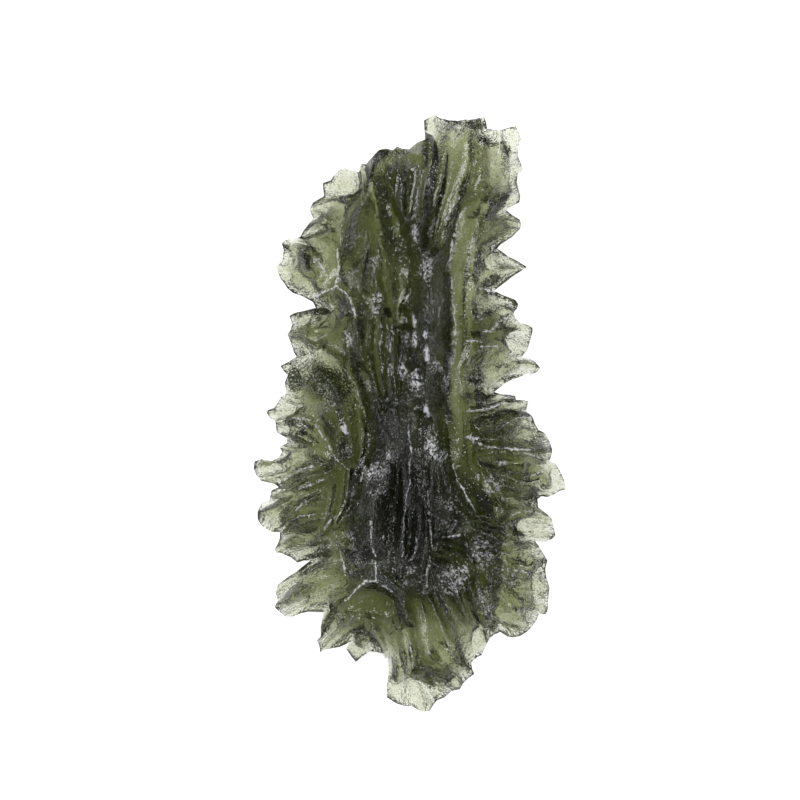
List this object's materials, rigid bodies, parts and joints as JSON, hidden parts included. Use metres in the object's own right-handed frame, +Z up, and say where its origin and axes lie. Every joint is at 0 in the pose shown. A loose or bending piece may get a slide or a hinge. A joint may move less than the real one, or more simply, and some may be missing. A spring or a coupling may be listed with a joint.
{
  "type": "moldavite",
  "caption": "Etched natural green glass stone, long and flat, with a ribbed middle, smooth troughs and thin ragged fins all round.",
  "frame": {"origin": "middle of the stone's footprint, on the surface that it rests on", "axes": "+Y along the stone towards its square crown, +Z up out of the deeply grooved face, +X to the right seen from above with the crown away from the viewer"},
  "size_m": [0.0156, 0.03, 0.0064],
  "materials": {
    "moldavite": "Clear olive-green natural glass, pale where it is thin and nearly black where it is thick, with a glossy skin etched into fine pits and striations"
  },
  "bodies": {
    "root": {"moldavite": "moldavite"}
  },
  "joints": []
}
